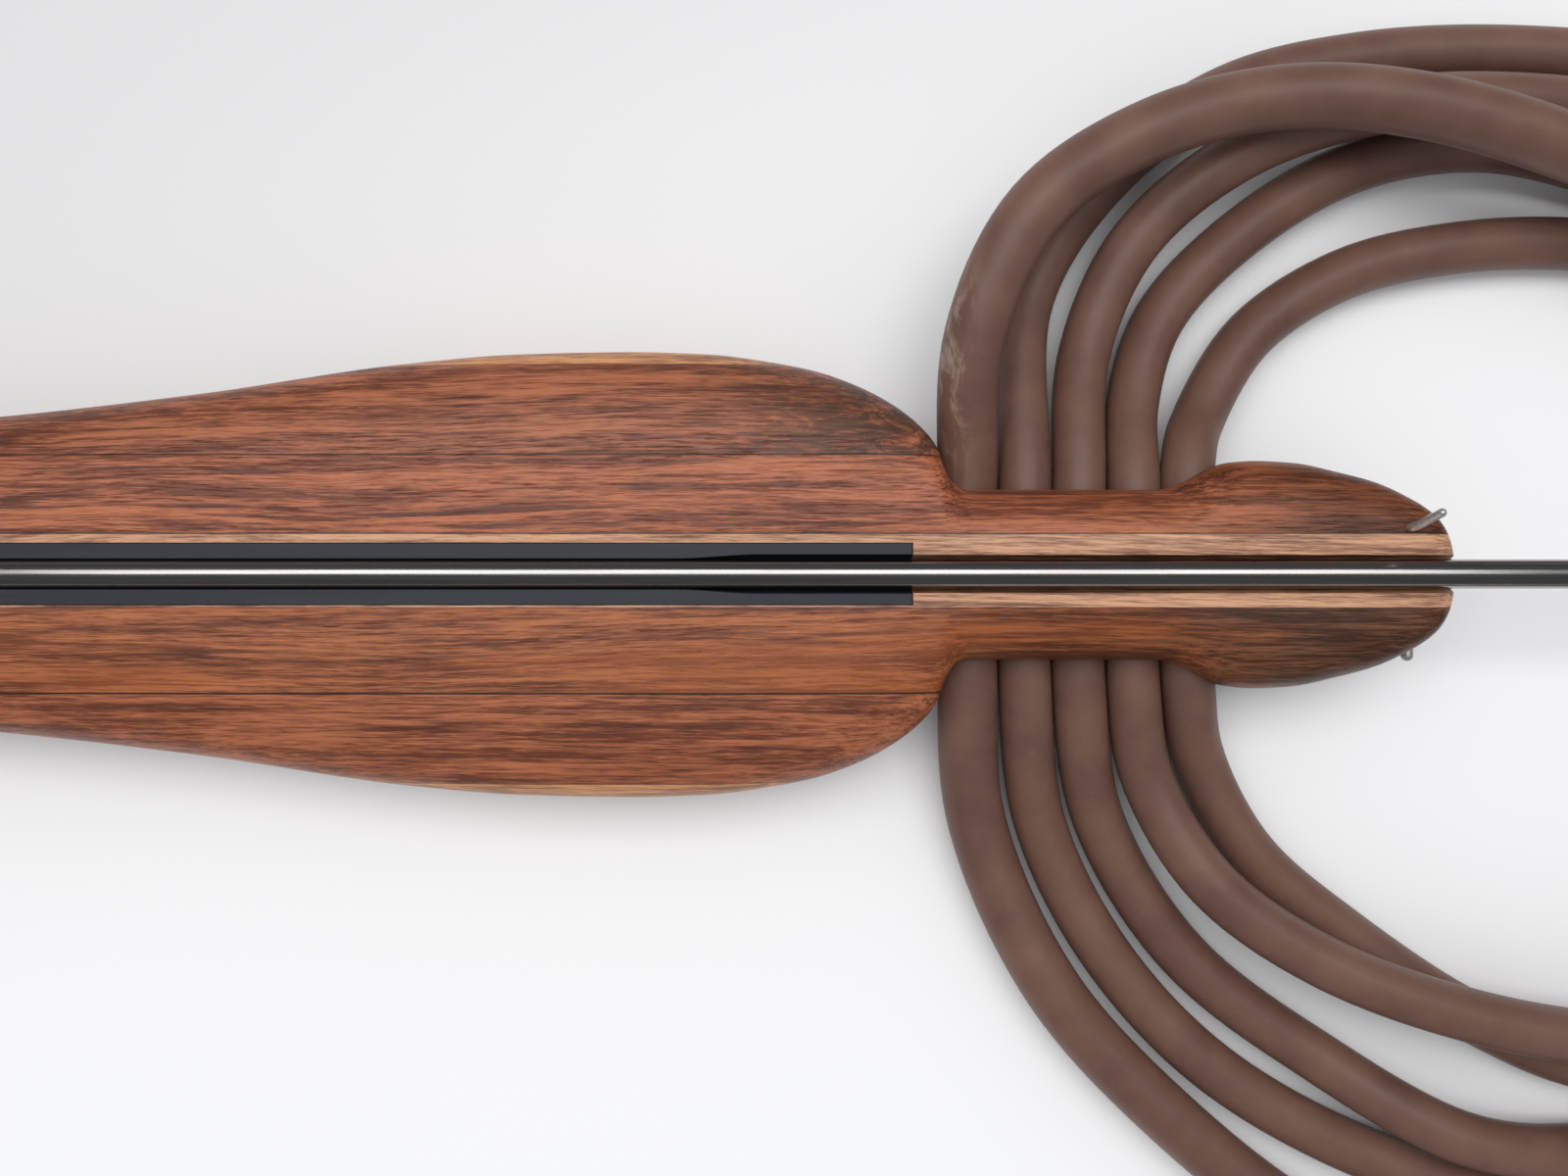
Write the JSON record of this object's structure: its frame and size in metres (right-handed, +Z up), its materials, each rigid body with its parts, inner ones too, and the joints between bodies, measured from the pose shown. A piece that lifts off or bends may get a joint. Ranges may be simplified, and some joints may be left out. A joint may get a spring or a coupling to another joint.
{
  "type": "speargun",
  "caption": "Laminated wooden speargun with ballast wings, closed track, rubber bands, steel shaft, trigger mechanism and pistol grip.",
  "frame": {"origin": "on the flat belly of the stock, under the widest point of the ballast wings", "axes": "+X along the gun towards the muzzle, +Y to the gun's left, +Z up from the belly to the track"},
  "size_m": [1.667, 0.3919, 0.1712],
  "materials": {
    "core_wood": "oiled pale brown hardwood",
    "red_wood": "oiled red-brown hardwood",
    "dark_wood": "oiled dark brown hardwood",
    "edge_wood": "oiled orange-tan hardwood",
    "track_plastic": "satin blue-black acetal",
    "stainless": "bright stainless steel",
    "shaft_steel": "ground dark spring stainless",
    "spring_steel": "drawn spring wire",
    "black_plastic": "moulded glass-filled nylon",
    "butt_rubber": "matte black rubber",
    "band_rubber": "satin brown latex tubing",
    "cord_fibre": "braided off-white cord",
    "tie_fibre": "waxed black whipping"
  },
  "bodies": {
    "stock": {"core_board": "core_wood", "rear_core": "core_wood", "muzzle_core": "core_wood", "inner_board_left": "red_wood", "inner_board_right": "red_wood", "muzzle_cheek_left": "red_wood", "muzzle_cheek_right": "red_wood", "wing_board_left": "dark_wood", "wing_board_right": "dark_wood", "edge_strip_left": "edge_wood", "edge_strip_right": "edge_wood", "track_insert": "track_plastic", "line_hook_left": "stainless", "line_pin_right": "stainless", "mech_housing": "stainless", "housing_pins": "stainless", "sear_pin": "stainless", "trigger_pin": "stainless", "line_release_pin": "stainless", "grip_frame": "black_plastic", "grip_scale_left": "dark_wood", "grip_scale_right": "dark_wood", "grip_screws": "stainless", "grip_bolts": "stainless", "trigger_guard": "black_plastic", "guard_screws": "stainless", "butt_pad": "butt_rubber", "butt_screws": "stainless", "band_1": "band_rubber", "band_2": "band_rubber", "band_3": "band_rubber", "band_4": "band_rubber", "band_5": "band_rubber", "wishbone_1": "cord_fibre", "wishbone_2": "cord_fibre", "wishbone_3": "cord_fibre", "wishbone_4": "cord_fibre", "wishbone_5": "cord_fibre", "band_ties": "tie_fibre"},
    "spear": {"spear_shaft": "shaft_steel", "loading_tabs": "shaft_steel", "flopper_rivet": "stainless"},
    "flopper": {"flopper_barb": "stainless"},
    "sear": {"sear": "stainless", "sear_spring": "spring_steel"},
    "trigger": {"trigger": "stainless", "trigger_spring": "spring_steel"},
    "line_release": {"line_release_lever": "stainless"}
  },
  "joints": [
    {"name": "shaft_slide", "type": "slide", "parent": "stock", "child": "spear", "axis": [1, 0, 0], "range_m": [0, 1.12]},
    {"name": "flopper_hinge", "type": "hinge", "parent": "spear", "child": "flopper", "pos_m": [0.488, 0, 0.0465], "axis": [0, 1, 0], "range_deg": [0, 45]},
    {"name": "sear_hinge", "type": "hinge", "parent": "stock", "child": "sear", "pos_m": [-0.89, 0, 0.028], "axis": [0, -1, 0], "range_deg": [0, 8], "stiffness_Nm_per_rad": 0.1},
    {"name": "trigger_hinge", "type": "hinge", "parent": "stock", "child": "trigger", "pos_m": [-0.852, 0, 0.022], "axis": [0, 1, 0], "range_deg": [0, 12], "stiffness_Nm_per_rad": 0.3},
    {"name": "line_release_hinge", "type": "hinge", "parent": "stock", "child": "line_release", "pos_m": [-0.846, 0.0196, 0.026], "axis": [0, 1, 0], "range_deg": [0, 60]}
  ]
}
